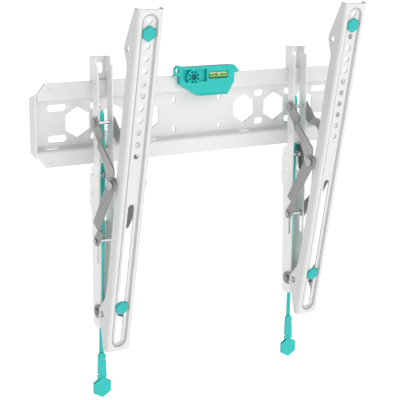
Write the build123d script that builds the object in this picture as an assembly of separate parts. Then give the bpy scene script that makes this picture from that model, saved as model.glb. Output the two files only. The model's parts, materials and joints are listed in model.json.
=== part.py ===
"""Tilting TV wall bracket: a rail plate, two hangers and two arms on folding links.

Frame: X along the wall, -Y out of the wall, +Z up, origin on the wall behind the plate's centre.
Depths are measured out of the wall, so a point at depth d lies at y = -d. Millimetres.
"""
import math
import os

from build123d import *

# Wall plate
plate_width = 478.0
plate_sheet = 2.5
plate_bend = 2.0
web_half = 29.5
rail_foot = 33.0
rail_top = 51.5
rail_back = 13.0
rail_end_slant = 10.0
rail_end_rise = 12.0
flange_half = 39.0
flange_slant = 5.0
rail_end_gap = 4.0
flange_depth = 15.0
hex_flats = 33.5
hex_places = (75.0, 125.0, 175.0)
slot_places = (100.0, 150.0)
slot_length = 15.0
end_slot_place = 203.0
end_slot_length = 26.0
slot_height = 8.6
slot_row = 19.0
pointer_place = 35.0
pointer_width = 5.0
pointer_height = 7.5
step_slot_places = (72.0, 214.0)
step_slot_length = 20.0
step_slot_height = 7.0
dimple_radius = 2.3
dimple_inset = 16.0
dimple_shift = 2.3
dimple_depth = 1.2

# Hanger
hanger_place = 150.0
hanger_width = 22.0
hanger_sheet = 2.0
hanger_depth = 20.5
hanger_top = 81.0
hanger_step = 70.5
hanger_foot = -264.0
hanger_corner = 8.0
hook_clearance = 0.4
wall_rear = 9.0
hook_drop = 9.0
step_depth = 24.0
tail_rear = 4.0
tail_top = -56.5
tail_foot = -117.0
tail_slope = 14.0
top_window = (60.0, 73.0)
top_window_half = 6.5
foot_window = (-224.0, -199.0)
foot_web_top = -128.0
bridge_top = -33.0
bridge_foot = -51.5
window_half = 4.0
peg_radius = 2.0
peg_height = -66.0
key_radius = 2.8
key_neck = 1.8
key_rise = 4.0
key_height = -89.0
key_depth = 14.0

# Folding links
link_sheet = 2.0
side_clearance = 0.3
pivot_inset = 5.5
upper_pivot_height = 0.0
mid_forward = 56.7
mid_drop = 67.2
slide_drop = 149.5
foot_pivot_height = -241.5
foot_length = 20.5
foot_angle = 8.0
fold_travel = 16.0
slot_end_room = 3.0
link_half = 8.0
link_front = 8.0
link_notch = 24.0
joggle_run = 8.0
corner_along = 74.6
corner_forward = 14.4
link_belly = 9.5
link_step = 3.0
link_end_half = 8.5
link_waist_forward = -1.0
link_waist_along = 47.0
link_heel_back = 5.3
link_heel_along = 67.0
mid_end_half = 9.0
lower_end_half = 6.5
lower_notch_half = 5.2
lower_notch = 72.0
foot_half = 8.5

# Pins and rivets
upper_pin_radius = 2.2
mid_pin_radius = 4.5
slide_pin_radius = 2.0
foot_pin_radius = 3.0
pin_head_room = 1.2
upper_head_room = 2.8
mid_head_room = 1.2
pin_head_thick = 1.8
mid_head_thick = 2.2
running_clearance = 0.05
fixed_clearance = 0.02
open_pivot_clearance = 1.3
slot_clearance = 0.5

# Arm
arm_width = 35.0
arm_sheet = 2.0
arm_bend = 4.5
arm_tilt = 11.7
arm_face = 18.4
arm_above = 219.0
arm_below = 221.0
arm_flange = 15.0
upper_ear_height = 169.0
upper_ear_depth = 16.5
ear_radius = 8.0
mid_ear_radius = 8.0
ear_hole = 3.5
ear_slope = 20.0
flange_step_from = 16.0
flange_step_to = 32.0
foot_ear_slope = 24.0
foot_ear_reach = 48.0
end_flange = 9.5
foot_flange = 18.5
foot_flange_end = 7.8
foot_taper = 26.0
bead_width = 21.8
groove_outer = 20.4
groove_inner = 17.4
panel_width = 15.8
groove_depth = 3.8
panel_drop = 2.4
bead_inset = 5.0
hole_count = 12
hole_pitch = 15.0
hole_first = 13.6
hole_radius = 3.6
long_slot_top = -21.5
long_slot_foot = -211.5
long_slot_width = 8.8

# Hexagon screws in the arm
knob_flats = 17.0
knob_thick = 3.2
knob_chamfer = 1.4
knob_under = 0.6
screw_radius = 3.0
screw_length = 16.0
lower_knob_height = -160.5
lower_knob_turn = 12.0

# Latch and pull strap
latch_pin_depth = 25.5
latch_pin_height = -66.0
latch_pin_radius = 1.5
latch_from = 5.0
latch_thick = 3.4
latch_grip = 5.0
latch_tooth = 4.5
latch_gap = 0.5
latch_neck = 5.5
latch_tail = 22.0
latch_turn = 26.0
spring_wire = 0.5
spring_turns = 4
spring_radius = 3.4
spring_pitch = 1.4
strap_width = 6.0
strap_thick = 1.4
strap_offset = 1.6
strap_lean = 5.9
strap_rail_gap = 0.4
strap_top = 14.0
strap_foot = -300.0
strap_finger = 8.0
handle_foot = -334.0
handle_top_width = 10.5
handle_foot_width = 12.5
handle_thick = 3.0
handle_shoulder = 3.0
handle_slit = 1.4
slit_drops = ((9.5, 1), (29.0, -1))
tab_flats = 24.5
tab_thick = 4.0
tab_chamfer = 0.8

# Spirit level on the top rail
level_thick = 8.0
level_hook = 5.5
level_hook_height = 10.0
level_left = -38.5
level_right = 45.0
level_above = 10.5
level_below = 27.5
level_wing = 8.5
level_foot_from = -11.0
level_foot_to = 34.5
level_shoulder = 11.0
level_corner = 1.5
level_ear_reach = 8.6
level_ear_above = 2.5
level_ear_cut = 3.7
level_ear_tongue = 2.2
level_ear_thick = 3.5
level_hole = 2.9
level_ledge_inset = 10.0
boss_place = (-17.5, 48.9)
boss_wall = 0.8
boss_recess = 2.2
pocket_left = -35.5
pocket_right = 2.5
pocket_top = 58.5
pocket_foot = 42.5
pocket_cut = 6.0
pocket_depth = 5.0
magnet_radius = 9.0
magnet_height = 2.0
magnet_eye = 4.4
magnet_slots = 8
magnet_slot_length = 3.2
magnet_slot_width = 2.4
magnet_slot_ring = 6.7
window_place = (20.0, 50.0)
window_recess = 6.0
vial_radius = 3.9
vial_length = 29.5
vial_gap = 0.5
bubble_radius = 2.2
bubble_length = 5.5
rod_end_round = 0.6

# Derived places
rail_front = rail_back + plate_sheet
rail_half = plate_width / 2 - rail_end_gap
hanger_front = wall_rear + hanger_depth
pivot_depth = hanger_front - pivot_inset
wall_outer = hanger_width / 2
link_length = math.hypot(mid_forward, mid_drop)
link_lean = math.degrees(math.atan2(mid_forward, mid_drop))
mid_depth = pivot_depth + mid_forward
mid_height = upper_pivot_height - mid_drop
lower_length = math.hypot(mid_forward, slide_drop - mid_drop)
lower_lean = math.degrees(math.asin(mid_forward / lower_length))
slide_height = upper_pivot_height - slide_drop
folded = math.radians(link_lean - fold_travel)
folded_lower = math.asin(link_length * math.sin(folded) / lower_length)
slide_travel = link_length * math.cos(folded) + lower_length * math.cos(folded_lower) - slide_drop
foot_forward = foot_length * math.cos(math.radians(foot_angle))
foot_rise = foot_length * math.sin(math.radians(foot_angle))
arm_foot_depth = pivot_depth + foot_forward
arm_foot_height = foot_pivot_height + foot_rise
near_level = wall_outer + side_clearance
upper_level = arm_width / 2 + side_clearance
lower_level = upper_level + link_sheet + side_clearance
head_level = lower_level + link_sheet + side_clearance
strap_depth = rail_front + strap_rail_gap
finger_foot = -rail_top - strap_finger / 4

os.makedirs("parts", exist_ok=True)


def slab(outline, x_from, x_to):
    """Extrude an outline drawn in (depth, height) between two X places."""
    plane = Plane(origin=(x_to, 0, 0), x_dir=(0, -1, 0), z_dir=(-1, 0, 0))
    return extrude(plane * outline, amount=x_to - x_from)


def front_prism(outline, depth_from, depth_to):
    """Extrude an outline drawn in (X, height) between two depths."""
    plane = Plane(origin=(0, -depth_from, 0), x_dir=(1, 0, 0), z_dir=(0, -1, 0))
    return extrude(plane * outline, amount=depth_to - depth_from)


def front_loft(rear_outline, rear_depth, front_outline, front_depth):
    """Body with sloping sides between two outlines drawn in (X, height)."""
    rear = Plane(origin=(0, -rear_depth, 0), x_dir=(1, 0, 0), z_dir=(0, -1, 0))
    front = Plane(origin=(0, -front_depth, 0), x_dir=(1, 0, 0), z_dir=(0, -1, 0))
    return loft([rear * rear_outline, front * front_outline])


def cross_rod(radius, x_from, x_to, depth, height):
    """Round rod along X."""
    return slab(Pos(depth, height) * Circle(radius), x_from, x_to)


def polygon(points):
    """Face from corner points in the order given."""
    return make_face(Polyline(*points, close=True))


def slot_face(x, z, length, height):
    """Slot that lies along X."""
    return Pos(x, z) * SlotOverall(length, height)


def hexagon(flats):
    """Hexagon with a corner at the top."""
    return RegularPolygon(flats / 2, 6, major_radius=False, rotation=30)


def mirrored(places):
    """Each place on both sides of the plate's middle."""
    return [sign * place for place in places for sign in (-1, 1)]


def box_between(x_from, x_to, depth_from, depth_to, z_from, z_to):
    """Box between two corners."""
    face = Pos((x_from + x_to) / 2, (z_from + z_to) / 2) * Rectangle(x_to - x_from, z_to - z_from)
    return front_prism(face, depth_from, depth_to)


def turn_about(part, degrees, depth, height):
    """Turn a part about an X axis through a depth and height."""
    return Pos(0, -depth, height) * Rot(degrees, 0, 0) * part


def save(node, part):
    """Write one node."""
    export_step(part, f"parts/{node}.step")


def make_wall_plate():
    """Pressed plate: web on the wall, flared steps and two rails that stand forward."""
    back = (
        (rail_back, rail_top),
        (rail_back, rail_foot),
        (0, web_half),
        (0, -web_half),
        (rail_back, -rail_foot),
        (rail_back, -rail_top),
    )
    path = FilletPolyline(*back, radius=plate_bend)
    section = make_face(offset(path, amount=plate_sheet, side=Side.LEFT))
    half = plate_width / 2
    plate = slab(section, -half, half)
    for sign in (-1, 1):
        for row in (-1, 1):
            corner = (
                (sign * (half + plate_sheet), row * (rail_top + plate_sheet)),
                (sign * (rail_half - rail_end_slant), row * (rail_top + plate_sheet)),
                (sign * (rail_half - rail_end_slant), row * rail_top),
                (sign * rail_half, row * (rail_top - rail_end_rise)),
                (sign * rail_half, row * web_half),
                (sign * (half + plate_sheet), row * web_half),
            )
            plate -= front_prism(polygon(corner), plate_sheet, rail_front + plate_sheet)
    flange = (
        (0, -flange_half + flange_slant),
        (0, flange_half - flange_slant),
        (flange_depth, flange_half),
        (flange_depth, -flange_half),
    )
    for sign in (-1, 1):
        inner = sign * (half - plate_sheet)
        plate += slab(polygon(flange), min(inner, sign * half), max(inner, sign * half))
    through = Sketch()
    for x in mirrored(hex_places):
        through += Pos(x, 0) * hexagon(hex_flats)
    for row in (-slot_row, slot_row):
        for x in mirrored(slot_places):
            through += slot_face(x, row, slot_length, slot_height)
        for x in mirrored((end_slot_place,)):
            through += slot_face(x, row, end_slot_length, slot_height)
        for x in mirrored((pointer_place,)):
            shoulder = row + pointer_height / 6
            through += polygon((
                (x - pointer_width / 2, row - pointer_height / 2),
                (x + pointer_width / 2, row - pointer_height / 2),
                (x + pointer_width / 2, shoulder),
                (x, row + pointer_height / 2),
                (x - pointer_width / 2, shoulder),
            ))
    plate -= front_prism(through, -plate_sheet, 2 * plate_sheet)
    for x in mirrored(step_slot_places):
        slot = Pos(x, -rail_back / 2 - plate_sheet / 2) * SlotOverall(step_slot_length, step_slot_height)
        plate -= Pos(0, 0, -rail_top) * extrude(slot, amount=rail_top - web_half + 2 * plate_sheet)
    dimples = Sketch()
    for x in mirrored((rail_half - dimple_inset,)):
        for row in (-1, 1):
            height = (rail_foot + rail_top) / 2 + dimple_shift
            dimples += Pos(x, row * height) * Circle(dimple_radius)
    return plate - front_prism(dimples, rail_front - dimple_depth, rail_front + plate_sheet)


def hanger_side():
    """Side wall outline: hook over the top rail, bulge below the bottom rail, rounded foot."""
    relief = rail_front + hook_clearance
    hook_front = rail_back - hook_clearance
    corners = (
        (wall_rear, hanger_top),
        (wall_rear, rail_top - hook_drop),
        (hook_front, rail_top - hook_drop),
        (hook_front, rail_top + hook_clearance),
        (relief, rail_top + hook_clearance),
        (relief, tail_top + hook_clearance),
        (wall_rear, tail_top),
        (tail_rear, tail_top - tail_slope),
        (tail_rear, tail_foot + tail_slope),
        (wall_rear, tail_foot),
        (wall_rear, hanger_foot),
        (hanger_front, hanger_foot),
        (hanger_front, hanger_step),
        (step_depth, hanger_step),
        (step_depth, hanger_top),
    )
    face = polygon(corners)
    foot_corner = face.vertices().sort_by(Axis.Y).filter_by(lambda v: v.Y < hanger_foot + 1)
    face = fillet(foot_corner, hanger_corner)
    return face


def make_hanger(x):
    """Folded channel with its web towards the wall, open at the rails, and a bridge over the strap."""
    side = hanger_side()
    holes = Sketch()
    holes += Pos(pivot_depth, upper_pivot_height) * Circle(upper_pin_radius + fixed_clearance)
    holes += Pos(pivot_depth, foot_pivot_height) * Circle(foot_pin_radius + fixed_clearance)
    holes += Pos(latch_pin_depth, latch_pin_height) * Circle(latch_pin_radius + fixed_clearance)
    slot_length_here = slide_travel + 2 * (slide_pin_radius + slot_end_room)
    slot_middle = slide_height - slide_travel / 2
    slot_width_here = 2 * (slide_pin_radius + slot_clearance)
    holes += Pos(pivot_depth, slot_middle) * Rot(0, 0, 90) * SlotOverall(slot_length_here, slot_width_here)
    holes += Pos(key_depth, peg_height) * Circle(peg_radius)
    holes += Pos(key_depth, key_height) * Circle(key_radius)
    holes += Pos(key_depth, key_height + key_rise) * Circle(key_neck)
    side -= holes
    left, right = x - wall_outer, x + wall_outer
    hanger = slab(side, left, left + hanger_sheet) + slab(side, right - hanger_sheet, right)
    web_front = wall_rear + hanger_sheet
    web_foot = hanger_foot + hanger_corner
    hanger += box_between(left, right, wall_rear, web_front, rail_top - hook_drop, hanger_top)
    hanger += box_between(left, right, wall_rear, web_front, web_foot, foot_web_top)
    bridge_rear = strap_depth + strap_thick + strap_rail_gap
    hanger += box_between(left, right, bridge_rear, bridge_rear + hanger_sheet, bridge_foot, bridge_top)
    openings = Sketch()
    for (z_from, z_to), half in ((top_window, top_window_half), (foot_window, window_half)):
        window = RectangleRounded(2 * half, z_to - z_from, hanger_sheet)
        openings += Pos(x, (z_from + z_to) / 2) * window
    return hanger - front_prism(openings, wall_rear - hanger_sheet, web_front + hanger_sheet)


def joggled(outline, near, far, from_along, to_along, length):
    """Plate hanging from its pivot, stepped from one level to another along its length."""
    low, high = min(near, far), max(near, far) + link_sheet
    block = slab(outline, low, high)
    reach = 2 * length
    band = (
        (near, reach),
        (near, -from_along),
        (far, -to_along),
        (far, -reach),
        (far + link_sheet, -reach),
        (far + link_sheet, -to_along),
        (near + link_sheet, -from_along),
        (near + link_sheet, reach),
    )
    return block & front_prism(polygon(band), -length, length)


def upper_link():
    """Upper link in its hanging position, pivot at the origin, front towards -Y."""
    body = polygon((
        (link_front, 0),
        (link_belly, -corner_along / 2),
        (corner_forward, -corner_along),
        (link_end_half / 2, -link_length),
        (-link_end_half, -link_length),
        (-link_heel_back, -link_heel_along),
        (link_waist_forward, -link_waist_along),
        (-link_step, -link_notch - joggle_run),
        (-link_half, -link_notch),
        (-link_half, 0),
    ))
    rounding = (link_front + link_half) / 2
    outline = body + Pos(link_front - rounding, 0) * Circle(rounding)
    outline += Pos(0, -link_length) * Circle(link_end_half)
    outline -= Circle(upper_pin_radius + running_clearance)
    outline -= Pos(0, -link_length) * Circle(mid_pin_radius + fixed_clearance)
    return joggled(outline, near_level, upper_level, link_notch, link_notch + joggle_run, link_length)


def lower_link():
    """Lower link in its hanging position, mid pivot at the origin."""
    body = polygon((
        (mid_end_half, 0),
        (link_half, -lower_notch),
        (lower_end_half, -lower_length),
        (-lower_end_half, -lower_length),
        (-lower_notch_half, -lower_notch - joggle_run),
        (-link_half, -lower_notch),
        (-mid_end_half, 0),
    ))
    outline = body + Circle(mid_end_half) + Pos(0, -lower_length) * Circle(lower_end_half)
    outline -= Circle(mid_pin_radius + running_clearance)
    outline -= Pos(0, -lower_length) * Circle(slide_pin_radius + fixed_clearance)
    return joggled(outline, lower_level, near_level, lower_notch, lower_notch + joggle_run, lower_length)


def foot_link():
    """Short link that points forward from its pivot."""
    outline = Circle(foot_half) + Pos(foot_length, 0) * Circle(foot_half)
    outline += Pos(foot_length / 2, 0) * Rectangle(foot_length, 2 * foot_half)
    outline -= Circle(foot_pin_radius + running_clearance)
    outline -= Pos(foot_length, 0) * Circle(foot_pin_radius + fixed_clearance)
    return slab(outline, near_level, near_level + link_sheet)


def both_sides(part, x):
    """A part and its twin on the other side of a hanger at x, outer one first."""
    return Pos(x, 0, 0) * mirror(part, Plane.YZ), Pos(x, 0, 0) * part


def headed_pin(x, radius, room, level, depth, height):
    """Pin across a hanger with a head at each end."""
    head_from = level + side_clearance
    pin = cross_rod(radius, x - head_from, x + head_from, depth, height)
    head = radius + room
    pin += cross_rod(head, x + head_from, x + head_from + pin_head_thick, depth, height)
    return pin + cross_rod(head, x - head_from - pin_head_thick, x - head_from, depth, height)


def mid_rivet():
    """Rivet through the arm's ear, the upper link and the lower link."""
    inside = arm_width / 2 - arm_sheet - side_clearance
    rivet = cross_rod(mid_pin_radius, inside, head_level, mid_depth, mid_height)
    head = mid_pin_radius + mid_head_room
    rivet += cross_rod(head, head_level, head_level + mid_head_thick, mid_depth, mid_height)
    return rivet + cross_rod(head, inside - pin_head_thick, inside, mid_depth, mid_height)


def foot_rivet():
    """Rivet through a short link and the arm's lower ear."""
    inside = near_level - side_clearance - pin_head_thick
    outside = arm_width / 2 + side_clearance
    rivet = cross_rod(foot_pin_radius, inside, outside, arm_foot_depth, arm_foot_height)
    small = foot_pin_radius + pin_head_room
    return rivet + cross_rod(small, inside, inside + pin_head_thick, arm_foot_depth, arm_foot_height)


def arm_local(depth, height):
    """Place of a point in the arm's own upright frame, whose origin is the mid pivot."""
    lean = math.radians(arm_tilt)
    forward, up = depth - mid_depth, height - mid_height
    return forward * math.cos(lean) - up * math.sin(lean), forward * math.sin(lean) + up * math.cos(lean)


def arm_side():
    """Flange outline with an upper, a middle and a lower ear."""
    foot = arm_local(arm_foot_depth, arm_foot_height)
    ear = (arm_face - upper_ear_depth, upper_ear_height)
    rear = arm_face - arm_flange
    end_rear = arm_face - end_flange
    lower_rear = rear + arm_sheet
    outline = polygon((
        (arm_face, arm_above),
        (end_rear, arm_above),
        (ear[0] - ear_radius, ear[1] + ear_radius / 2),
        (ear[0] - ear_radius, ear[1] - ear_radius / 4),
        (rear, ear[1] - ear_slope),
        (rear, -flange_step_from),
        (lower_rear, -flange_step_to),
        (lower_rear, foot[1] + foot_ear_reach),
        (rear, foot[1] + foot_ear_slope),
        (foot[0] - ear_radius, foot[1] + ear_radius / 2),
        (foot[0] - ear_radius, foot[1] - ear_radius),
        (arm_face - foot_flange, -arm_below + foot_taper),
        (arm_face - foot_flange_end, -arm_below + arm_sheet),
        (arm_face - arm_bend, -arm_below),
        (arm_face, -arm_below),
    ))
    outline += Circle(mid_ear_radius)
    outline += Pos(*ear) * Circle(ear_radius)
    outline += Pos(*foot) * Circle(ear_radius)
    outline -= Circle(mid_pin_radius + running_clearance)
    outline -= Pos(*ear) * Circle(ear_hole)
    return outline - Pos(*foot) * Circle(foot_pin_radius + open_pivot_clearance)


def front_corners(part, depth):
    """Upright edges of a part at a depth."""
    return part.edges().filter_by(Axis.Z).filter_by(lambda edge: abs(edge.center().Y + depth) < 0.01)


def bead_outline(width):
    """Upright outline with round ends, offset inwards from the bead's rim to a width."""
    length = arm_above + arm_below - 2 * bead_inset - (bead_width - width)
    return Pos(0, (arm_above - arm_below) / 2) * Rot(0, 0, 90) * SlotOverall(length, width)


def make_arm():
    """Channel bolted to the screen, upright, with a grooved bead, a row of holes and a long slot."""
    half = arm_width / 2
    block = slab(arm_side(), -half, half)
    inner = slab(
        Pos(0, (arm_above - arm_below) / 2) * Rectangle(4 * arm_face, 2 * (arm_above + arm_below)),
        -half + arm_sheet,
        half - arm_sheet,
    )
    inner -= box_between(-half, half, arm_face - arm_sheet, 6 * arm_face, -4 * arm_below, 4 * arm_above)
    block = fillet(front_corners(block, arm_face), arm_bend)
    arm = block - fillet(front_corners(inner, arm_face - arm_sheet), arm_bend - arm_sheet)
    floor = arm_face - groove_depth
    panel = arm_face - panel_drop
    arm += front_prism(bead_outline(bead_width), floor - arm_sheet, arm_face - arm_sheet)
    arm -= front_loft(bead_outline(groove_outer), floor, bead_outline(bead_width), arm_face)
    arm += front_loft(bead_outline(groove_inner), floor, bead_outline(panel_width), panel)
    arm -= front_prism(bead_outline(panel_width), floor - arm_sheet, panel - arm_sheet)
    openings = Sketch()
    for number in range(hole_count):
        openings += Pos(0, arm_above - hole_first - number * hole_pitch) * Circle(hole_radius)
    slot_middle = (long_slot_top + long_slot_foot) / 2
    long_slot = SlotOverall(long_slot_top - long_slot_foot, long_slot_width)
    openings += Pos(0, slot_middle) * Rot(0, 0, 90) * long_slot
    return arm - front_prism(openings, floor - arm_sheet, arm_face)


def make_knob(height, turn):
    """Hexagon-headed screw seated in the arm's bead, in the arm's upright frame."""
    seat = arm_face - panel_drop
    head = front_prism(Rot(0, 0, turn) * hexagon(knob_flats), seat, seat + knob_thick)
    head = chamfer(head.faces().sort_by(Axis.Y)[0].edges(), knob_chamfer)
    head = chamfer(head.faces().sort_by(Axis.Y)[-1].edges(), knob_under)
    shank = front_prism(Circle(screw_radius), seat - screw_length, seat)
    return Pos(0, 0, height) * (head + shank)


def make_latch(x):
    """Catch whose tooth stands behind the bottom rail's lower edge."""
    pin = (latch_pin_depth, latch_pin_height)
    tooth_front = rail_back - latch_gap
    tooth_rear = tooth_front - latch_tooth
    neck_top = -rail_top - latch_gap - strap_finger / 4
    outline = polygon((
        (tooth_front, -rail_top + latch_grip),
        (tooth_front, neck_top),
        (pin[0], neck_top),
        (pin[0] + latch_neck, pin[1]),
        (pin[0] + latch_neck / 2, pin[1] - latch_tail),
        (pin[0] - latch_neck / 2, pin[1] - latch_tail),
        (pin[0] - latch_neck, pin[1]),
        (tooth_front, neck_top - latch_neck),
        (tooth_rear, neck_top - latch_neck / 2),
        (tooth_rear, -rail_top + latch_grip / 2),
    ))
    outline -= Pos(*pin) * Circle(latch_pin_radius + running_clearance)
    return slab(outline, x + latch_from, x + latch_from + latch_thick)


def make_latch_spring(x):
    """Coil round the latch pin, beside the latch."""
    coil_length = spring_turns * spring_pitch
    path = Helix(spring_pitch, coil_length, spring_radius)
    start = path @ 0
    wire_face = Plane(origin=start, z_dir=path % 0) * Circle(spring_wire)
    coil = sweep(wire_face, path=path, is_frenet=True)
    coil = Rot(0, 90, 0) * coil
    coil_end = latch_from - 2 * spring_wire
    return Pos(x + coil_end - coil_length, -latch_pin_depth, latch_pin_height) * coil


def make_pull_strap(x):
    """Flat strap behind the hanger's bridge, a finger over the latch, and a slit handle with a tab."""
    middle = x + strap_offset
    low_middle = middle - strap_lean
    front = strap_depth + strap_thick
    half = strap_width / 2
    strip = (
        (middle - half / 2, strap_top),
        (middle + half / 2, strap_top),
        (middle + half, strap_top - strap_width),
        (middle + half, finger_foot),
        (low_middle + half, strap_foot),
        (low_middle - half, strap_foot),
        (middle - half, finger_foot),
        (middle - half, strap_top - strap_width),
    )
    strap = front_prism(polygon(strip), strap_depth, front)
    finger = polygon((
        (strap_depth, finger_foot),
        (front, finger_foot + strap_thick * math.tan(math.radians(latch_turn))),
        (front, finger_foot + strap_finger),
        (strap_depth, finger_foot + strap_finger),
    ))
    strap += slab(finger, middle + half, x + latch_from + latch_thick - fixed_clearance)
    handle = polygon((
        (low_middle - half, strap_foot),
        (low_middle + half, strap_foot),
        (low_middle + handle_top_width / 2, strap_foot - handle_shoulder),
        (low_middle + handle_foot_width / 2, handle_foot),
        (low_middle - handle_foot_width / 2, handle_foot),
        (low_middle - handle_top_width / 2, strap_foot - handle_shoulder),
    ))
    tab_centre = handle_foot - tab_flats / 2
    for drop, side in slit_drops:
        slit = Rectangle(handle_foot_width, handle_slit)
        handle -= Pos(low_middle + side * handle_foot_width / 2, strap_foot - drop) * slit
    strap += front_prism(handle, strap_depth, strap_depth + handle_thick)
    tab_face = Pos(low_middle, tab_centre) * hexagon(tab_flats)
    tab = front_prism(tab_face, strap_depth, strap_depth + tab_thick)
    tab = chamfer(tab.faces().sort_by(Axis.Y)[0].edges(), tab_chamfer)
    return strap + tab


def level_ear():
    """Hanging ear at the level's left end, with a short tongue at its foot."""
    top = rail_top + level_above + level_ear_above
    tip = level_left - level_ear_reach
    ear = polygon((
        (level_left + level_ear_cut, rail_top + level_above),
        (level_left, top),
        (tip + level_ear_cut, top),
        (tip, top - level_ear_cut),
        (tip, rail_top + level_corner),
        (tip - level_ear_tongue, rail_top),
        (level_left + level_ear_cut, rail_top),
    ))
    return ear - Pos(level_left - level_ear_cut, rail_top + level_above - level_ear_cut) * Circle(level_hole)


def level_outline():
    """Front outline of the level body."""
    shoulder = rail_top - level_shoulder
    return polygon((
        (level_left, rail_top + level_above),
        (level_right, rail_top + level_above),
        (level_right + level_wing, rail_top + level_corner),
        (level_right, rail_top),
        (level_right, shoulder),
        (level_foot_to, rail_top - level_below),
        (level_foot_from, rail_top - level_below),
        (level_left, shoulder),
    ))


def make_level_body():
    """Body in front of the rail with a ledge that hooks over the rail's top edge."""
    front = rail_front + level_thick
    body = front_prism(level_outline(), rail_front, front)
    body += front_prism(level_ear(), front - level_ear_thick, front)
    ledge_left = level_left + level_ledge_inset
    ledge_top = rail_top + level_hook_height
    body += box_between(
        ledge_left, level_right, rail_back - level_hook, rail_front, rail_top, ledge_top,
    )
    pocket = polygon((
        (pocket_left, pocket_top),
        (pocket_right, pocket_top),
        (pocket_right, pocket_foot),
        (pocket_left + pocket_cut, pocket_foot),
        (pocket_left, pocket_foot + pocket_cut),
    ))
    body -= front_prism(pocket, front - pocket_depth, front + pocket_depth)
    boss = Pos(*boss_place) * Circle(magnet_radius + fixed_clearance + boss_wall)
    body += front_prism(boss, front - pocket_depth, front)
    seat = Pos(*boss_place) * Circle(magnet_radius + fixed_clearance)
    body -= front_prism(seat, front - boss_recess, front + boss_recess)
    window_length = vial_length + 2 * vial_gap
    window_height = 2 * (vial_radius + vial_gap)
    window = Pos(*window_place) * RectangleRounded(window_length, window_height, level_corner)
    return body - front_prism(window, front - window_recess, front + window_recess)


def vial_axis_depth():
    """Depth of the vial's axis: it lies on the window's floor."""
    return rail_front + level_thick - window_recess + vial_radius


def along_x(radius, length, place):
    """Rod with domed ends along X in the vial's window."""
    x, z = place
    rod = cross_rod(radius, x - length / 2, x + length / 2, vial_axis_depth(), z)
    return fillet(rod.edges().filter_by(GeomType.CIRCLE), radius * rod_end_round)


def make_level_magnet():
    """Round cup on the floor of the level's recess with a ring of slots and an eye."""
    floor = rail_front + level_thick - boss_recess
    x, z = boss_place
    cup = front_prism(Pos(x, z) * Circle(magnet_radius), floor, floor + magnet_height)
    slots = Sketch()
    for number in range(magnet_slots):
        turn = Rot(0, 0, 360 / magnet_slots * (number + 0.5))
        slot = Rot(0, 0, 90) * SlotOverall(magnet_slot_length, magnet_slot_width)
        slots += Pos(x, z) * turn * Pos(magnet_slot_ring, 0) * slot
    slots += Pos(x, z) * Circle(magnet_eye)
    return cup - front_prism(slots, floor + magnet_height / 2, floor + 2 * magnet_height)


def make_side(side, x):
    """One hanger with its arm, links, pins, latch and strap."""
    save(f"hanger_{side}", make_hanger(x))
    arm_place = Pos(x, -mid_depth, mid_height) * Rot(arm_tilt, 0, 0)
    save(f"arm_{side}", arm_place * make_arm())
    save(f"knob_upper_{side}", arm_place * make_knob(arm_above - hole_first - hole_pitch, 0))
    save(f"knob_lower_{side}", arm_place * make_knob(lower_knob_height, lower_knob_turn))
    pairs = {
        "upper_link": turn_about(upper_link(), -link_lean, pivot_depth, upper_pivot_height),
        "lower_link": turn_about(lower_link(), lower_lean, mid_depth, mid_height),
        "foot_link": turn_about(foot_link(), -foot_angle, pivot_depth, foot_pivot_height),
    }
    for name, link in pairs.items():
        outer, inner = both_sides(link, x)
        save(f"{name}_outer_{side}", outer)
        save(f"{name}_inner_{side}", inner)
    save(f"mid_rivets_{side}", Compound(children=list(both_sides(mid_rivet(), x))))
    save(f"foot_rivets_{side}", Compound(children=list(both_sides(foot_rivet(), x))))
    level = near_level + link_sheet
    upper_pin = headed_pin(x, upper_pin_radius, upper_head_room, level, pivot_depth, upper_pivot_height)
    save(f"upper_pin_{side}", upper_pin)
    slide_pin = headed_pin(x, slide_pin_radius, pin_head_room, level, pivot_depth, slide_height)
    save(f"slide_pin_{side}", slide_pin)
    foot_pin = headed_pin(x, foot_pin_radius, pin_head_room, level, pivot_depth, foot_pivot_height)
    save(f"foot_pin_{side}", foot_pin)
    latch_pin = cross_rod(latch_pin_radius, x - wall_outer, x + wall_outer, latch_pin_depth, latch_pin_height)
    save(f"latch_pin_{side}", latch_pin)
    save(f"latch_{side}", make_latch(x))
    save(f"latch_spring_{side}", make_latch_spring(x))
    save(f"pull_strap_{side}", make_pull_strap(x))


save("wall_plate", make_wall_plate())
save("level_body", make_level_body())
bubble = along_x(bubble_radius, bubble_length, window_place)
save("level_vial", along_x(vial_radius, vial_length, window_place) - bubble)
save("level_bubble", bubble)
save("level_magnet", make_level_magnet())
make_side("left", -hanger_place)
make_side("right", hanger_place)
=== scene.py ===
"""Finishes, edges and a studio stage for a tilting TV wall bracket: an add-on that also runs as a script."""
import json
import math

import bmesh
import bpy
from mathutils import Matrix, Vector

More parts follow.
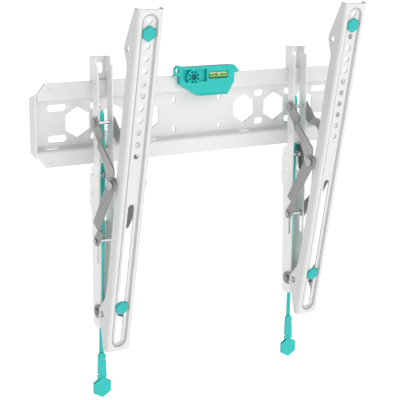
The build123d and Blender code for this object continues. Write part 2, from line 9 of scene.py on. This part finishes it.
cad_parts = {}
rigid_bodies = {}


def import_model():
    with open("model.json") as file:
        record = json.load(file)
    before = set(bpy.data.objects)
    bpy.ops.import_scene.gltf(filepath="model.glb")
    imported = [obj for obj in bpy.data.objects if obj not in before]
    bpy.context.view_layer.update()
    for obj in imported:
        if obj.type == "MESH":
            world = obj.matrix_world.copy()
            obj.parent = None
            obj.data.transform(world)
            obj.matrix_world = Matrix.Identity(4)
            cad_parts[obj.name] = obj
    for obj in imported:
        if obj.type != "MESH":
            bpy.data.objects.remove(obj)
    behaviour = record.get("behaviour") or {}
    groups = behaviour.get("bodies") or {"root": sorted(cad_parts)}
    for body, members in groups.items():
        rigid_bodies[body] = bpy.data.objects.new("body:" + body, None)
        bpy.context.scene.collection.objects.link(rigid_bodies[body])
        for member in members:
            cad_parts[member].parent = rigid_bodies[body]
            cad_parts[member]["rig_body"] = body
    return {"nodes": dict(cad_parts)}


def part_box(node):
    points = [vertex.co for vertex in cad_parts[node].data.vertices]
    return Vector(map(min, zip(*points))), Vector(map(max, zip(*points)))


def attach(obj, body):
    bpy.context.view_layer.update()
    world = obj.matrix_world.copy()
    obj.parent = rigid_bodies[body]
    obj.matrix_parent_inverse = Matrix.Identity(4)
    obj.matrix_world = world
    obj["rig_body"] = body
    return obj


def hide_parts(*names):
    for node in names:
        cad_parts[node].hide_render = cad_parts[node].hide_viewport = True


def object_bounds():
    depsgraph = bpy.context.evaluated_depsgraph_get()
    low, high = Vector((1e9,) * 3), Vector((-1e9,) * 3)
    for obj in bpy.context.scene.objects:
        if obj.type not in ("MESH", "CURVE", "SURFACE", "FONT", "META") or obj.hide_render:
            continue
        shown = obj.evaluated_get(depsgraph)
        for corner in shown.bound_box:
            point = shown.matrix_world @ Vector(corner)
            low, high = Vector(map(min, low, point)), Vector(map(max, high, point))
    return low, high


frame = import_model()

bl_info = {
    "name": "Tilting wall bracket",
    "version": (1, 0, 0),
    "blender": (4, 5, 0),
    "location": "3D View > Sidebar > Bracket",
    "description": "Finishes, eased edges and a studio stage for a tilting wall bracket",
    "category": "Object",
}

CAD_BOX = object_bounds()
SIDES = ("left", "right")
MM = 0.001

# Clean-up and rounding of meshes
WELD = 1e-6
FLAT = math.radians(0.5)
CREASE = math.radians(28)
FACET = math.radians(40)
EDGE_STEPS = 2

# Rounding of finer moulded pieces, as shares of the mould edge
STRAP_EDGE = 1 / 2
MAGNET_EDGE = 1 / 3
VIAL_EDGE = 1 / 5

# Values of a noise texture between which a finish makes its whole change
NOISE_LOW = 0.3
NOISE_HIGH = 0.7

# Tones as shares of a finish's colour
LINK_TONES = {"upper_link": 1.15, "lower_link": 0.86, "foot_link": 0.70}
# Knobs' darker copy of the plastic: painted shade that offsets the stronger light on the arms
KNOB_SHADED_TONE = 0.86
SCALE_TONE = 0.45
# Painted shade in the vial's dark bands
PAINTED_SHADE_TONE = 0.35

# Share of half a pin's length that its head takes up
PIN_HEAD = 0.13

# Painted shade on the arm's coat, in its folds and groove behind its face: how far the bands reach, and for
# each band the shares of that reach at which the plain coat ends, the full painted shade starts, the full
# painted shade ends and the plain coat is back
FOLD_REACH = 4.4 * MM
FOLD_BANDS = ((0.08, 0.2, 0.42, 0.5), (0.6, 0.68, 0.9, 1.0))

# Faces whose normal's Y is under this look out of the wall
FRONT_FACING = -0.9

# Strap's height, as shares at which its handle ends and its paler teal starts: painted light where the strap
# runs in the shaded hanger channel
HANDLE_END = 0.2
LIT_STRIP_START = 0.3

# Vial's height, as shares with the tone that lies there: the liquid's colour, painted shade and painted
# highlights
VIAL_BANDS = (
    (0.0, "painted_shade"), (0.2, "liquid"), (0.32, "liquid"), (0.36, "glint"), (0.40, "liquid"), (0.66, "liquid"),
    (0.71, "painted_shade"), (0.78, "glint"), (1.0, "glint"),
)

# Bubble: turn of its place up from the front, and as shares of its half length its depth, its height and
# how far it is set into the vial
BUBBLE_LEAN = math.radians(25)
BUBBLE_DEPTH = 0.42
BUBBLE_HEIGHT = 0.62
BUBBLE_SINK = 0.36
BUBBLE_SEGMENTS = 32
BUBBLE_RINGS = 16

# Lines round the vial
LINE_WIDTH = 0.45 * MM
LINE_THICK = 0.1 * MM
LINE_PROUD = 0.06 * MM
LINE_GAP = 0.9 * MM
LINE_SEGMENTS = 64

# Magnet cup: shares of its depth at which the rim ends and the full painted shade starts, and shares of its
# radius between which its slots lie
MAGNET_RIM = 0.1
MAGNET_FULL_SHADE = 0.45
SLOT_RING = (0.53, 0.96)

# Marks along the level's foot
SCALE_MARKS = 12
SCALE_FROM = -6.5 * MM
SCALE_STEP = 3.3 * MM
SCALE_MARK = (1.2 * MM, 0.2 * MM, 2.2 * MM)
SCALE_SINK = 0.05 * MM
SCALE_RISE = 1.9 * MM

# Stage: sizes and places in metres, the lamps' places from the camera's target
FLOOR_HALF = 40
FLOOR_CELLS = 4
FLOOR_COLOUR = (0.92, 0.92, 0.92)
FLOOR_GLOW = 0.93
KEY_PLACE = (1.0, -2.2, 1.6)
KEY_SIZE = 2.0
FILL_PLACE = (-1.5, -2.6, 0.8)
FILL_SIZE = 2.4
HAZE_FROM = math.radians(8)
HAZE_TO = math.radians(24)
SENSOR_WIDTH = 36
FAR_CLIP = 100
WHITE = (1, 1, 1, 1)


def colour_prop(label, about, value):
    """A colour that a user may change."""
    return bpy.props.FloatVectorProperty(
        name=label, description=about, subtype="COLOR", size=3, min=0, max=1, default=value)


def length_prop(label, about, value):
    """A length in metres that a user may change."""
    return bpy.props.FloatProperty(
        name=label, description=about, subtype="DISTANCE", unit="LENGTH", default=value, precision=5)


def share_prop(label, about, value):
    """A share from 0 to 1 that a user may change."""
    return bpy.props.FloatProperty(
        name=label, description=about, subtype="FACTOR", min=0, max=1, default=value)


def angle_prop(label, about, degrees):
    """An angle that a user may change."""
    return bpy.props.FloatProperty(
        name=label, description=about, subtype="ANGLE", default=math.radians(degrees))


def number_prop(label, about, value, unit="NONE"):
    """A plain number that a user may change."""
    return bpy.props.FloatProperty(name=label, description=about, unit=unit, default=value)


class BracketFinish(bpy.types.PropertyGroup):
    """Colours and edge sizes of the bracket's finishes."""

    coat: colour_prop("Coat", "Powder coat on the plate", (0.755, 0.755, 0.743))
    # Lit copy of the plate's coat: painted light, so that the shaded insides of the hangers' channels read
    # bright
    lit_hanger_coat: colour_prop("Hanger coat", "Powder coat on the hangers", (0.86, 0.86, 0.85))
    # Shaded copy of the plate's coat: painted shade that offsets the stronger light on the arms
    shaded_arm_coat: colour_prop("Arm coat", "Powder coat on the arms", (0.67, 0.67, 0.659))
    # Painted shade: tone of the arm coat in its folds and grooves, where shade falls
    painted_fold_shade: share_prop("Fold shade", "Tone of the coat in the arms' folds and grooves", 0.90)
    coat_gloss: share_prop("Coat roughness", "Roughness of the powder coat", 0.42)
    plastic: colour_prop("Plastic", "Moulded knobs, handles and level", (0.011, 0.50, 0.468))
    # Painted light: paler teal for the strap where it runs in the shaded hanger channel
    strip: colour_prop("Strip", "Thin strip of the straps", (0.03, 0.74, 0.69))
    link: colour_prop("Links", "Satin paint on the folding links", (0.35, 0.346, 0.338))
    steel: colour_prop("Steel", "Bright pins and springs", (0.66, 0.66, 0.65))
    rivet: colour_prop("Rivets", "Zinc on rivets and on the slide pins' heads", (0.44, 0.44, 0.43))
    catch: colour_prop("Catch", "Dark zinc on the latches", (0.17, 0.175, 0.17))
    liquid: colour_prop("Liquid", "Liquid in the level's vial", (0.095, 0.32, 0.04))
    # Painted highlight along the vial's wall
    glint: colour_prop("Glint", "Pale light along the vial's wall", (0.76, 0.90, 0.52))
    # Painted highlight: the bubble's pale colour stands for the light it catches
    bubble: colour_prop("Bubble", "Bubble in the level's vial", (0.80, 0.95, 0.55))
    # Printed lines round the vial, and painted shade in the magnet's slots
    ink_and_slot_shade: colour_prop("Marks", "Lines round the vial and slots of the magnet", (0.002, 0.075, 0.07))
    # Painted shade deep in the magnet's cup, at its eye
    painted_hollow_shade: colour_prop("Hollows", "Eye of the magnet", (0.004, 0.13, 0.125))
    sheet_edge: length_prop("Sheet edge", "Rounding on edges of coated sheet", 0.00035)
    link_edge: length_prop("Link edge", "Rounding on edges of links and rivets", 0.0003)
    mould_edge: length_prop("Mould edge", "Rounding on edges of moulded pieces", 0.0005)


class BracketStage(bpy.types.PropertyGroup):
    """Camera, lights and floor."""

    azimuth: angle_prop("Azimuth", "Camera's turn about the upright axis", -32.729)
    elevation: angle_prop("Elevation", "Camera's height above the horizon", 11.938)
    roll: angle_prop("Roll", "Camera's turn about its own axis", 0.162)
    distance: length_prop("Distance", "From the camera to its target", 1.455126)
    target: bpy.props.FloatVectorProperty(
        name="Target", description="Point in the middle of the picture", subtype="XYZ", unit="LENGTH",
        default=(-0.072116, -0.123221, -0.088759))
    lens: number_prop("Lens", "Focal length on a 36 mm sensor", 107.56, "CAMERA")
    floor_drop: length_prop("Floor drop", "From the bracket's lowest point to the floor", 0.60)
    sky: number_prop("Sky", "Strength of the light from overhead", 0.16)
    horizon: number_prop("Horizon", "Strength of the light from low down all round", 1.0)
    key: number_prop("Key", "Power of the main lamp", 27.0, "POWER")
    fill: number_prop("Fill", "Power of the lamp from the other side", 14.0, "POWER")


def finish():
    """The finish settings."""
    return bpy.context.scene.bracket_finish


def stage():
    """The stage settings."""
    return bpy.context.scene.bracket_stage


def toned(colour, tone):
    """A colour made darker or lighter by a share."""
    return tuple(tone * c for c in colour)


def plain_material(name, colour, roughness, metallic=0.0, specular=None):
    """Material with one shader; returns it with its tree and shader."""
    material = bpy.data.materials.new(name)
    material.use_nodes = True
    tree = material.node_tree
    shader = tree.nodes["Principled BSDF"]
    shader.inputs["Base Color"].default_value = (*colour, 1)
    shader.inputs["Roughness"].default_value = roughness
    shader.inputs["Metallic"].default_value = metallic
    if specular is not None:
        shader.inputs["Specular IOR Level"].default_value = specular
    return material, tree, shader


def banded(tree, shader, way, low, high, stops):
    """Colours along a direction in the object; each stop is a share of the way, 0 to 1, and a colour."""
    place = tree.nodes.new("ShaderNodeTexCoord")
    along = tree.nodes.new("ShaderNodeVectorMath")
    along.operation = "DOT_PRODUCT"
    along.inputs[1].default_value = way
    spread = tree.nodes.new("ShaderNodeMapRange")
    spread.inputs["From Min"].default_value = low
    spread.inputs["From Max"].default_value = high
    mixer = tree.nodes.new("ShaderNodeValToRGB")
    elements = mixer.color_ramp.elements
    elements[0].color = (*stops[0][1], 1)
    elements[1].color = (*stops[-1][1], 1)
    for share, colour in stops[1:-1]:
        elements.new(share).color = (*colour, 1)
    tree.links.new(place.outputs["Object"], along.inputs[0])
    tree.links.new(along.outputs["Value"], spread.inputs["Value"])
    tree.links.new(spread.outputs["Result"], mixer.inputs["Fac"])
    tree.links.new(mixer.outputs["Color"], shader.inputs["Base Color"])


def noise(tree, scale, detail, stretch):
    """Noise on object coordinates; scale is in cells per metre."""
    place = tree.nodes.new("ShaderNodeTexCoord")
    mapping = tree.nodes.new("ShaderNodeMapping")
    mapping.inputs["Scale"].default_value = stretch
    texture = tree.nodes.new("ShaderNodeTexNoise")
    texture.inputs["Scale"].default_value = scale
    texture.inputs["Detail"].default_value = detail
    tree.links.new(place.outputs["Object"], mapping.inputs["Vector"])
    tree.links.new(mapping.outputs["Vector"], texture.inputs["Vector"])
    return texture


def tinted(tree, shader, colour, swing, scale, stretch=(1, 1, 1)):
    """Slow change of tone over a surface, up to swing darker and lighter."""
    texture = noise(tree, scale, detail=3, stretch=stretch)
    ramp = tree.nodes.new("ShaderNodeValToRGB")
    dark, light = ramp.color_ramp.elements
    dark.position, light.position = NOISE_LOW, NOISE_HIGH
    dark.color = (*toned(colour, 1 - swing), 1)
    light.color = (*(min(1, c) for c in toned(colour, 1 + swing)), 1)
    tree.links.new(texture.outputs["Fac"], ramp.inputs["Fac"])
    tree.links.new(ramp.outputs["Color"], shader.inputs["Base Color"])


def worn(tree, shader, low, high, scale, stretch=(1, 1, 1)):
    """Roughness that wanders between two values."""
    texture = noise(tree, scale, detail=4, stretch=stretch)
    spread = tree.nodes.new("ShaderNodeMapRange")
    spread.inputs["From Min"].default_value = NOISE_LOW
    spread.inputs["From Max"].default_value = NOISE_HIGH
    spread.inputs["To Min"].default_value = low
    spread.inputs["To Max"].default_value = high
    tree.links.new(texture.outputs["Fac"], spread.inputs["Value"])
    tree.links.new(spread.outputs["Result"], shader.inputs["Roughness"])


def grained(tree, shader, scale, strength, depth, stretch=(1, 1, 1)):
    """Fine relief; depth is in metres."""
    texture = noise(tree, scale, detail=2, stretch=stretch)
    bump = tree.nodes.new("ShaderNodeBump")
    bump.inputs["Strength"].default_value = strength
    bump.inputs["Distance"].default_value = depth
    tree.links.new(texture.outputs["Fac"], bump.inputs["Height"])
    tree.links.new(bump.outputs["Normal"], shader.inputs["Normal"])


def orange_peel(tree, shader):
    """Uneven gloss and fine relief of powder coat."""
    gloss = finish().coat_gloss
    worn(tree, shader, low=gloss - 0.05, high=gloss + 0.06, scale=60)
    grained(tree, shader, scale=1100, strength=0.10, depth=0.12 * MM)


def mould_grain(tree, shader):
    """Fine relief of moulded plastic."""
    grained(tree, shader, scale=2600, strength=0.12, depth=0.06 * MM)


def coat_material(name, colour):
    """White powder coat."""
    material, tree, shader = plain_material(name, colour, roughness=finish().coat_gloss)
    tinted(tree, shader, colour, swing=0.012, scale=22)
    orange_peel(tree, shader)
    return material


def arm_material():
    """Shaded copy of the powder coat, with painted shade in the arm's folds and in the groove round its sunk
    panel.
    """
    coat = tuple(finish().shaded_arm_coat)
    shade = toned(coat, finish().painted_fold_shade)
    mesh = frame["nodes"]["arm_left"].data
    faces = [f for f in mesh.polygons if f.normal.y < FRONT_FACING]
    front = sum((f.normal * f.area for f in faces), Vector()).normalized()
    face = min(-front.dot(v.co) for v in mesh.vertices)
    stops = [(0.0, coat)]
    for coat_end, shade_start, shade_end, coat_back in FOLD_BANDS:
        stops += [(coat_end, coat), (shade_start, shade), (shade_end, shade), (coat_back, coat)]
    material, tree, shader = plain_material("shaded_arm_coat", coat, roughness=finish().coat_gloss)
    banded(tree, shader, -front, face, face + FOLD_REACH, stops)
    orange_peel(tree, shader)
    return material


def plastic_material(name, tone=1.0):
    """Satin moulded plastic; tone is a share of its colour."""
    colour = toned(finish().plastic, tone)
    material, tree, shader = plain_material(name, colour, roughness=0.36, specular=0.45)
    tinted(tree, shader, colour, swing=0.04, scale=40)
    worn(tree, shader, low=0.32, high=0.44, scale=140)
    mould_grain(tree, shader)
    return material


def strap_material():
    """Moulded plastic with painted light: paler above its handle, where the strap runs in the shaded hanger
    channel.
    """
    colour, strip = tuple(finish().plastic), tuple(finish().strip)
    material, tree, shader = plain_material("strap_plastic", colour, roughness=0.38, specular=0.45)
    low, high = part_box("pull_strap_left")
    stops = ((0.0, colour), (HANDLE_END, colour), (LIT_STRIP_START, strip), (1.0, strip))
    banded(tree, shader, (0, 0, 1), low.z, high.z, stops)
    worn(tree, shader, low=0.32, high=0.44, scale=140)
    mould_grain(tree, shader)
    return material


def link_material(name, tone):
    """Satin grey paint on pressed links, faintly streaked upright; tone is a share of its colour."""
    colour = toned(finish().link, tone)
    material, tree, shader = plain_material(f"{name}_paint", colour, roughness=0.42, metallic=0.25)
    tinted(tree, shader, colour, swing=0.06, scale=45, stretch=(1, 1, 0.25))
    worn(tree, shader, low=0.36, high=0.50, scale=120, stretch=(1, 1, 0.3))
    grained(tree, shader, scale=1500, strength=0.10, depth=0.1 * MM)
    return material


def steel_material():
    """Bright turned steel with fine rings along the pin."""
    colour = tuple(finish().steel)
    material, tree, shader = plain_material("bright_steel", colour, roughness=0.22, metallic=1.0)
    worn(tree, shader, low=0.16, high=0.30, scale=300, stretch=(6, 1, 1))
    grained(tree, shader, scale=900, strength=0.08, depth=0.05 * MM, stretch=(8, 1, 1))
    return material


def rivet_material():
    """Zinc on pressed rivets."""
    colour = tuple(finish().rivet)
    material, tree, shader = plain_material("zinc_rivet", colour, roughness=0.34, metallic=0.8)
    tinted(tree, shader, colour, swing=0.06, scale=120)
    worn(tree, shader, low=0.28, high=0.42, scale=260)
    grained(tree, shader, scale=1800, strength=0.08, depth=0.06 * MM)
    return material


def catch_material():
    """Dark zinc on the latches."""
    colour = tuple(finish().catch)
    material, tree, shader = plain_material("dark_zinc", colour, roughness=0.4, metallic=0.6)
    tinted(tree, shader, colour, swing=0.12, scale=90)
    worn(tree, shader, low=0.33, high=0.5, scale=160)
    grained(tree, shader, scale=1600, strength=0.12, depth=0.08 * MM)
    return material


def liquid_material():
    """Round vial of yellow-green liquid, with painted bands of light and shade for those that its wall bends
    into it.
    """
    liquid = tuple(finish().liquid)
    tones = {"painted_shade": toned(liquid, PAINTED_SHADE_TONE), "liquid": liquid, "glint": tuple(finish().glint)}
    material, tree, shader = plain_material("vial_liquid", liquid, roughness=0.08, specular=0.3)
    low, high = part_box("level_vial")
    banded(tree, shader, (0, 0, 1), low.z, high.z, [(share, tones[tone]) for share, tone in VIAL_BANDS])
    return material


def bubble_material():
    """Air bubble whose pale colour is a painted highlight for the light it catches."""
    colour = tuple(finish().bubble)
    material, tree, shader = plain_material("vial_bubble", colour, roughness=0.12)
    shader.inputs["Coat Weight"].default_value = 0.5
    tinted(tree, shader, colour, swing=0.05, scale=300)
    return material


def ink_material(name, colour):
    """Dull colour of printed lines and marks, and of painted shade in slots."""
    material, tree, shader = plain_material(name, colour, roughness=0.6, specular=0.1)
    tinted(tree, shader, colour, swing=0.2, scale=200)
    return material


def magnet_material():
    """Plastic cup with painted shade that grows darker with depth."""
    colour, dark = tuple(finish().plastic), tuple(finish().painted_hollow_shade)
    material, tree, shader = plain_material("magnet_cup", colour, roughness=0.5, specular=0.2)
    low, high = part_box("level_magnet")
    stops = ((0.0, colour), (MAGNET_RIM, colour), (MAGNET_FULL_SHADE, dark), (1.0, dark))
    banded(tree, shader, (0, 1, 0), low.y, high.y, stops)
    mould_grain(tree, shader)
    return material


def finished_mesh(bm, name):
    """Object at the origin from a bmesh, smooth between its creases."""
    mesh = bpy.data.meshes.new(name)
    bm.to_mesh(mesh)
    bm.free()
    for extra in ("custom_normal", "sharp_edge", "sharp_face"):
        if extra in mesh.attributes:
            mesh.attributes.remove(mesh.attributes[extra])
    mesh.shade_smooth()
    mesh.set_sharp_from_angle(angle=FACET)
    piece = bpy.data.objects.new(name, mesh)
    bpy.context.scene.collection.objects.link(piece)
    return piece


def eased(node, ending, edge, material, head_material=None):
    """Copy of a CAD node with its creases rounded, which stands for the node; a pin's heads may differ."""
    bm = bmesh.new()
    bm.from_mesh(frame["nodes"][node].data)
    bmesh.ops.remove_doubles(bm, verts=bm.verts, dist=WELD)
    bmesh.ops.dissolve_limit(bm, angle_limit=FLAT, verts=bm.verts, edges=bm.edges)
    creases = [e for e in bm.edges if len(e.link_faces) == 2 and e.calc_face_angle() > CREASE]
    bmesh.ops.bevel(bm, geom=creases, offset=edge, offset_type="OFFSET", segments=EDGE_STEPS, profile=0.5,
                    affect="EDGES", clamp_overlap=True, material=-1)
    bmesh.ops.dissolve_degenerate(bm, dist=WELD, edges=bm.edges)
    piece = finished_mesh(bm, f"{node}_{ending}")
    normals = piece.modifiers.new("weighted_normals", "WEIGHTED_NORMAL")
    normals.keep_sharp = True
    piece.data.materials.clear()
    piece.data.materials.append(material)
    if head_material:
        piece.data.materials.append(head_material)
        low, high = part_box(node)
        reach = (high.x - low.x) / 2 * (1 - PIN_HEAD)
        for face in piece.data.polygons:
            face.material_index = int(abs(face.center.x - (low.x + high.x) / 2) > reach)
    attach(piece, frame["nodes"][node]["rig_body"])
    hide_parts(node)
    return piece


class BRACKET_OT_coated_steel(bpy.types.Operator):
    """Plate, hangers and arms in white powder coat"""

    bl_idname = "bracket.coated_steel"
    bl_label = "Coated steel"

    def execute(self, context):
        edge = finish().sheet_edge
        eased("wall_plate", "coated", edge, coat_material("plate_coat", tuple(finish().coat)))
        # Hangers get a lit copy of the coat (painted light) and arms a shaded copy with painted shade in
        # their folds
        hanger, arm = coat_material("lit_hanger_coat", tuple(finish().lit_hanger_coat)), arm_material()
        for side in SIDES:
            eased(f"hanger_{side}", "coated", edge, hanger)
            eased(f"arm_{side}", "coated", edge, arm)
        return {"FINISHED"}


class BRACKET_OT_links(bpy.types.Operator):
    """Folding links with their rivets and pins"""

    bl_idname = "bracket.links"
    bl_label = "Links and pins"

    def execute(self, context):
        edge = finish().link_edge
        paints = {name: link_material(name, tone) for name, tone in LINK_TONES.items()}
        steel, zinc = steel_material(), rivet_material()
        for side in SIDES:
            for name, paint in paints.items():
                for place in ("outer", "inner"):
                    eased(f"{name}_{place}_{side}", "painted", edge, paint)
            for name in ("mid_rivets", "foot_rivets"):
                eased(f"{name}_{side}", "pressed", edge, zinc)
            eased(f"foot_pin_{side}", "pressed", edge, paints["foot_link"])
            eased(f"upper_pin_{side}", "turned", edge, steel, paints["upper_link"])
            eased(f"slide_pin_{side}", "turned", edge, steel, zinc)
            eased(f"latch_pin_{side}", "turned", edge, steel)
        return {"FINISHED"}


class BRACKET_OT_latches(bpy.types.Operator):
    """Catches, their springs and the pull straps"""

    bl_idname = "bracket.latches"
    bl_label = "Latches and straps"

    def execute(self, context):
        zinc, steel, plastic = catch_material(), steel_material(), strap_material()
        strap_edge = finish().mould_edge * STRAP_EDGE
        for side in SIDES:
            eased(f"latch_{side}", "plated", finish().link_edge, zinc)
            eased(f"pull_strap_{side}", "moulded", strap_edge, plastic)
            spring = frame["nodes"][f"latch_spring_{side}"]
            spring.data.materials.clear()
            spring.data.materials.append(steel)
        return {"FINISHED"}


class BRACKET_OT_knobs(bpy.types.Operator):
    """Hexagon-headed screws in the arms"""

    bl_idname = "bracket.knobs"
    bl_label = "Knobs"

    def execute(self, context):
        # Darker copy of the plastic: painted shade that offsets the stronger light on the arms
        plastic = plastic_material("knob_plastic", KNOB_SHADED_TONE)
        for side in SIDES:
            for name in ("knob_upper", "knob_lower"):
                eased(f"{name}_{side}", "moulded", finish().mould_edge, plastic)
        return {"FINISHED"}


class BRACKET_OT_level(bpy.types.Operator):
    """Spirit level with its magnet, vial, bubble, lines and marks"""

    bl_idname = "bracket.level"
    bl_label = "Spirit level"

    def execute(self, context):
        edge = finish().mould_edge
        eased("level_body", "moulded", edge, plastic_material("level_plastic"))
        self.magnet(edge)
        eased("level_vial", "filled", edge * VIAL_EDGE, liquid_material())
        low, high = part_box("level_vial")
        middle, radius = (low + high) / 2, (high.z - low.z) / 2
        self.bubble(middle, radius)
        self.lines(middle, radius)
        self.scale()
        return {"FINISHED"}

    def magnet(self, edge):
        """Magnet cup whose ring of slots gets painted shade, darker than its eye."""
        piece = eased("level_magnet", "moulded", edge * MAGNET_EDGE, magnet_material())
        piece.data.materials.append(ink_material("magnet_slots_painted_shade", tuple(finish().ink_and_slot_shade)))
        low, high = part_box("level_magnet")
        middle, radius = (low + high) / 2, (high.x - low.x) / 2
        # Faces in the ring of slots get the dark colour: painted shade in the slots
        for face in piece.data.polygons:
            out = math.hypot(face.center.x - middle.x, face.center.z - middle.z) / radius
            sunk = (face.center.y - low.y) / (high.y - low.y)
            face.material_index = int(SLOT_RING[0] < out < SLOT_RING[1] and sunk > MAGNET_RIM)

    def scale(self):
        """Row of short marks along the level's foot."""
        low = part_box("level_body")[0]
        size = Matrix.Diagonal((*SCALE_MARK, 1))
        bm = bmesh.new()
        for number in range(SCALE_MARKS):
            place = Vector((SCALE_FROM + number * SCALE_STEP, low.y + SCALE_SINK, low.z + SCALE_RISE))
            bmesh.ops.create_cube(bm, size=1, matrix=Matrix.Translation(place) @ size)
        piece = finished_mesh(bm, "level_scale")
        piece.data.materials.append(ink_material("scale_ink", toned(finish().plastic, SCALE_TONE)))
        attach(piece, "plate")

    def bubble(self, middle, radius):
        """Flattened bubble against the upper front of the vial's wall."""
        low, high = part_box("level_bubble")
        half = (high.x - low.x) / 2
        out = Vector((0, -math.cos(BUBBLE_LEAN), math.sin(BUBBLE_LEAN)))
        turn = Matrix.Rotation(-BUBBLE_LEAN, 3, "X")
        bm = bmesh.new()
        bmesh.ops.create_uvsphere(bm, u_segments=BUBBLE_SEGMENTS, v_segments=BUBBLE_RINGS, radius=half)
        bmesh.ops.scale(bm, vec=(1, BUBBLE_DEPTH, BUBBLE_HEIGHT), verts=bm.verts)
        bmesh.ops.rotate(bm, cent=(0, 0, 0), matrix=turn, verts=bm.verts)
        bmesh.ops.translate(bm, vec=middle + out * (radius - BUBBLE_SINK * half), verts=bm.verts)
        piece = finished_mesh(bm, "level_bubble_air")
        piece.data.materials.append(bubble_material())
        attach(piece, "plate")
        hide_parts("level_bubble")

    def lines(self, middle, radius):
        """Two thin lines round the vial, one on each side of the bubble."""
        low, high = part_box("level_bubble")
        reach = (high.x - low.x) / 2 + LINE_GAP
        turn = Matrix.Rotation(math.pi / 2, 3, "Y")
        bm = bmesh.new()
        for sign in (-1, 1):
            ring = bmesh.ops.create_cone(
                bm, segments=LINE_SEGMENTS, radius1=radius + LINE_PROUD, radius2=radius + LINE_PROUD,
                depth=LINE_WIDTH, cap_ends=False)["verts"]
            bmesh.ops.rotate(bm, cent=(0, 0, 0), matrix=turn, verts=ring)
            bmesh.ops.translate(bm, vec=middle + Vector((sign * reach, 0, 0)), verts=ring)
        bmesh.ops.recalc_face_normals(bm, faces=bm.faces)
        bmesh.ops.solidify(bm, geom=list(bm.faces), thickness=LINE_THICK)
        bmesh.ops.recalc_face_normals(bm, faces=bm.faces)
        piece = finished_mesh(bm, "level_vial_lines")
        piece.data.materials.append(ink_material("vial_ink", tuple(finish().ink_and_slot_shade)))
        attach(piece, "plate")


class BRACKET_OT_stage(bpy.types.Operator):
    """Pale floor, soft light and the camera"""

    bl_idname = "bracket.stage"
    bl_label = "Stage"

    def execute(self, context):
        settings = stage()
        self.floor(settings)
        self.light(settings)
        self.camera(settings)
        context.scene.view_settings.view_transform = "Standard"
        return {"FINISHED"}

    def floor(self, settings):
        """Pale floor well below the bracket, lit a little from itself."""
        bm = bmesh.new()
        bmesh.ops.create_grid(bm, x_segments=FLOOR_CELLS, y_segments=FLOOR_CELLS, size=FLOOR_HALF)
        bmesh.ops.translate(bm, vec=(0, 0, CAD_BOX[0].z - settings.floor_drop), verts=bm.verts)
        piece = finished_mesh(bm, "floor")
        material, _, shader = plain_material("pale_floor", FLOOR_COLOUR, roughness=0.8)
        shader.inputs["Emission Color"].default_value = WHITE
        shader.inputs["Emission Strength"].default_value = FLOOR_GLOW
        piece.data.materials.append(material)

    def light(self, settings):
        """Sky that is bright low down, a large lamp on the right and a weaker one on the camera's side."""
        world = bpy.data.worlds.new("studio")
        world.use_nodes = True
        sky = world.node_tree.nodes["Background"]
        sky.inputs["Color"].default_value = WHITE
        self.brighten_horizon(world.node_tree, sky, settings)
        bpy.context.scene.world = world
        target = Vector(settings.target)
        lamps = (("key", KEY_PLACE, settings.key, KEY_SIZE), ("fill", FILL_PLACE, settings.fill, FILL_SIZE))
        for name, offset, power, size in lamps:
            data = bpy.data.lights.new(name, "AREA")
            data.energy = power
            data.size = size
            lamp = bpy.data.objects.new(name, data)
            lamp.location = target + Vector(offset)
            lamp.rotation_euler = (-Vector(offset)).to_track_quat("-Z", "Y").to_euler()
            bpy.context.scene.collection.objects.link(lamp)

    def brighten_horizon(self, tree, sky, settings):
        """Let the sky's strength fall with height."""
        place = tree.nodes.new("ShaderNodeTexCoord")
        parts = tree.nodes.new("ShaderNodeSeparateXYZ")
        fall = tree.nodes.new("ShaderNodeMapRange")
        fall.inputs["From Min"].default_value = math.sin(HAZE_FROM)
        fall.inputs["From Max"].default_value = math.sin(HAZE_TO)
        fall.inputs["To Min"].default_value = settings.horizon
        fall.inputs["To Max"].default_value = settings.sky
        tree.links.new(place.outputs["Generated"], parts.inputs["Vector"])
        tree.links.new(parts.outputs["Z"], fall.inputs["Value"])
        tree.links.new(fall.outputs["Result"], sky.inputs["Strength"])

    def camera(self, settings):
        """Camera at the photo's view."""
        data = bpy.data.cameras.new("camera")
        data.sensor_width = SENSOR_WIDTH
        data.lens = settings.lens
        data.clip_end = FAR_CLIP
        camera = bpy.data.objects.new("camera", data)
        a, e = settings.azimuth, settings.elevation
        back = Vector((math.sin(a) * math.cos(e), -math.cos(a) * math.cos(e), math.sin(e)))
        camera.location = Vector(settings.target) + back * settings.distance
        look = (-back).to_track_quat("-Z", "Y").to_matrix()
        camera.rotation_euler = (look @ Matrix.Rotation(settings.roll, 3, "Z")).to_euler()
        bpy.context.scene.collection.objects.link(camera)
        bpy.context.scene.camera = camera


PIECES = (BRACKET_OT_coated_steel, BRACKET_OT_links, BRACKET_OT_latches, BRACKET_OT_knobs,
          BRACKET_OT_level, BRACKET_OT_stage)


class BRACKET_PT_sidebar(bpy.types.Panel):
    """Lists the bracket's operators and settings"""

    bl_idname = "BRACKET_PT_sidebar"
    bl_label = "Bracket"
    bl_space_type = "VIEW_3D"
    bl_region_type = "UI"
    bl_category = "Bracket"

    def draw(self, context):
        for operator in PIECES:
            self.layout.operator(operator.bl_idname)
        for group in (context.scene.bracket_finish, context.scene.bracket_stage):
            for name in group.__annotations__:
                self.layout.prop(group, name)


CLASSES = (BracketFinish, BracketStage, *PIECES, BRACKET_PT_sidebar)


def register():
    for cls in CLASSES:
        bpy.utils.register_class(cls)
    bpy.types.Scene.bracket_finish = bpy.props.PointerProperty(type=BracketFinish)
    bpy.types.Scene.bracket_stage = bpy.props.PointerProperty(type=BracketStage)


def unregister():
    del bpy.types.Scene.bracket_stage
    del bpy.types.Scene.bracket_finish
    for cls in reversed(CLASSES):
        bpy.utils.unregister_class(cls)


def main():
    """Make every piece and the stage."""
    register()
    bpy.ops.bracket.stage()
    bpy.ops.bracket.coated_steel()
    bpy.ops.bracket.links()
    bpy.ops.bracket.latches()
    bpy.ops.bracket.knobs()
    bpy.ops.bracket.level()


if __name__ == "__main__":
    main()
